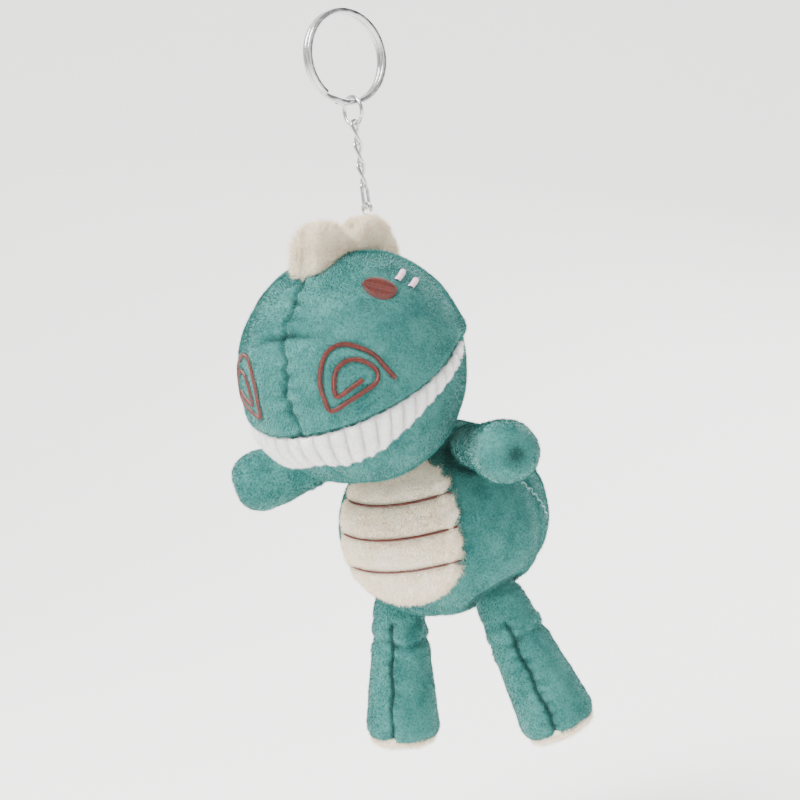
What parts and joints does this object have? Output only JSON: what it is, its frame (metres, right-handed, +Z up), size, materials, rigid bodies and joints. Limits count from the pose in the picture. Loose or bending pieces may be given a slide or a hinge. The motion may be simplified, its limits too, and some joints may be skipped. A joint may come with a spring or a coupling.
{
  "type": "plush keychain",
  "caption": "Stuffed toy dinosaur hung by its crest from a split ring on a short curb chain, with limbs, neck and tail that flex.",
  "frame": {"origin": "inside top of the split ring, where the ring rests on its hook or peg", "axes": "+Z up, hanging plumb; the dinosaur faces -Y and its left is +X"},
  "size_m": [0.0942, 0.1015, 0.197],
  "materials": {
    "steel": "bright nickel-plated wire, lightly scuffed",
    "teal_plush": "short soft pile",
    "cream_fleece": "longer fluffy pile",
    "ribbed_white": "ribbed pile, pinked edge",
    "brown_thread": "satin-stitch thread",
    "pink_thread": "satin-stitch thread",
    "teal_thread": "sewing thread",
    "stuffing": "loose polyester fibre"
  },
  "bodies": {
    "key_ring": {"split_ring": "steel"},
    "jump_ring": {"jump_ring": "steel"},
    "link_1": {"link_1": "steel"},
    "link_2": {"link_2": "steel"},
    "link_3": {"link_3": "steel"},
    "end_link": {"end_link": "steel"},
    "head": {"anchor_eye": "steel", "anchor_disc": "steel", "crest_left": "cream_fleece", "crest_right": "cream_fleece", "crest_stuffing": "stuffing", "head_side_left": "teal_plush", "head_side_right": "teal_plush", "jaw_panel": "teal_plush", "teeth_strip": "ribbed_white", "head_stuffing": "stuffing", "eye_left": "brown_thread", "eye_right": "brown_thread", "blush_left_1": "pink_thread", "blush_left_2": "pink_thread", "blush_right_1": "pink_thread", "blush_right_2": "pink_thread", "nostril_left": "brown_thread", "nostril_right": "brown_thread"},
    "neck": {"neck_stuffing": "stuffing"},
    "torso": {"belly_patch": "cream_fleece", "belly_stitch_1": "brown_thread", "belly_stitch_2": "brown_thread", "belly_stitch_3": "brown_thread", "torso_side_left": "teal_plush", "torso_side_right": "teal_plush", "torso_back": "teal_plush", "torso_stuffing": "stuffing", "closing_stitch": "teal_thread"},
    "left_arm": {"arm_left_front": "teal_plush", "arm_left_back": "teal_plush", "arm_left_stuffing": "stuffing"},
    "right_arm": {"arm_right_front": "teal_plush", "arm_right_back": "teal_plush", "arm_right_stuffing": "stuffing"},
    "left_leg": {"leg_left_outer": "teal_plush", "leg_left_inner": "teal_plush", "leg_left_stuffing": "stuffing", "sole_left": "cream_fleece"},
    "right_leg": {"leg_right_outer": "teal_plush", "leg_right_inner": "teal_plush", "leg_right_stuffing": "stuffing", "sole_right": "cream_fleece"},
    "tail": {"tail_left": "teal_plush", "tail_right": "teal_plush", "tail_stuffing": "stuffing"}
  },
  "joints": [
    {"name": "jump_ring_swing", "type": "hinge", "parent": "key_ring", "child": "jump_ring", "pos_m": [0, 0, -0.02125], "axis": [0.9472, -0.3206, 0], "range_deg": [-35, 35]},
    {"name": "link_1_swing", "type": "hinge", "parent": "jump_ring", "child": "link_1", "pos_m": [0, 0, -0.0273], "axis": [0.3206, 0.9472, 0], "range_deg": [-20, 20]},
    {"name": "link_2_swing", "type": "hinge", "parent": "link_1", "child": "link_2", "pos_m": [0, 0, -0.0339], "axis": [0.9472, -0.3206, 0], "range_deg": [-20, 20]},
    {"name": "link_3_swing", "type": "hinge", "parent": "link_2", "child": "link_3", "pos_m": [0, 0, -0.0381], "axis": [0.3206, 0.9472, 0], "range_deg": [-20, 20]},
    {"name": "end_link_swing", "type": "hinge", "parent": "link_3", "child": "end_link", "pos_m": [0, 0, -0.0447], "axis": [0.9472, -0.3206, 0], "range_deg": [-20, 20]},
    {"name": "plush_swing", "type": "hinge", "parent": "end_link", "child": "head", "pos_m": [0, 0, -0.0488], "axis": [1, 0, 0], "range_deg": [-25, 25]},
    {"name": "neck_turn", "type": "hinge", "parent": "head", "child": "neck", "pos_m": [0, -0.0003, -0.11094], "axis": [0, -0.5512, 0.8344], "range_deg": [-15, 15], "stiffness_Nm_per_rad": 0.08},
    {"name": "neck_nod", "type": "hinge", "parent": "neck", "child": "torso", "pos_m": [0, -0.0003, -0.11094], "axis": [1, 0, 0], "range_deg": [-8, 8], "stiffness_Nm_per_rad": 0.25},
    {"name": "left_arm_swing", "type": "hinge", "parent": "torso", "child": "left_arm", "pos_m": [0.0183, 0.0044, -0.1136], "axis": [-0.6285, -0.7778, 0], "range_deg": [-20, 30], "stiffness_Nm_per_rad": 0.02},
    {"name": "right_arm_swing", "type": "hinge", "parent": "torso", "child": "right_arm", "pos_m": [-0.0183, 0.0044, -0.1136], "axis": [-0.5202, 0.8541, 0], "range_deg": [-20, 30], "stiffness_Nm_per_rad": 0.02},
    {"name": "left_leg_swing", "type": "hinge", "parent": "torso", "child": "left_leg", "pos_m": [0.016, 0.0118, -0.1566], "axis": [1, 0, 0], "range_deg": [-40, 30], "stiffness_Nm_per_rad": 0.01},
    {"name": "right_leg_swing", "type": "hinge", "parent": "torso", "child": "right_leg", "pos_m": [-0.016, 0.0118, -0.1566], "axis": [1, 0, 0], "range_deg": [-40, 30], "stiffness_Nm_per_rad": 0.01},
    {"name": "tail_wag", "type": "hinge", "parent": "torso", "child": "tail", "pos_m": [0, 0.0404, -0.1456], "axis": [0, 0, 1], "range_deg": [-25, 25], "stiffness_Nm_per_rad": 0.01}
  ]
}
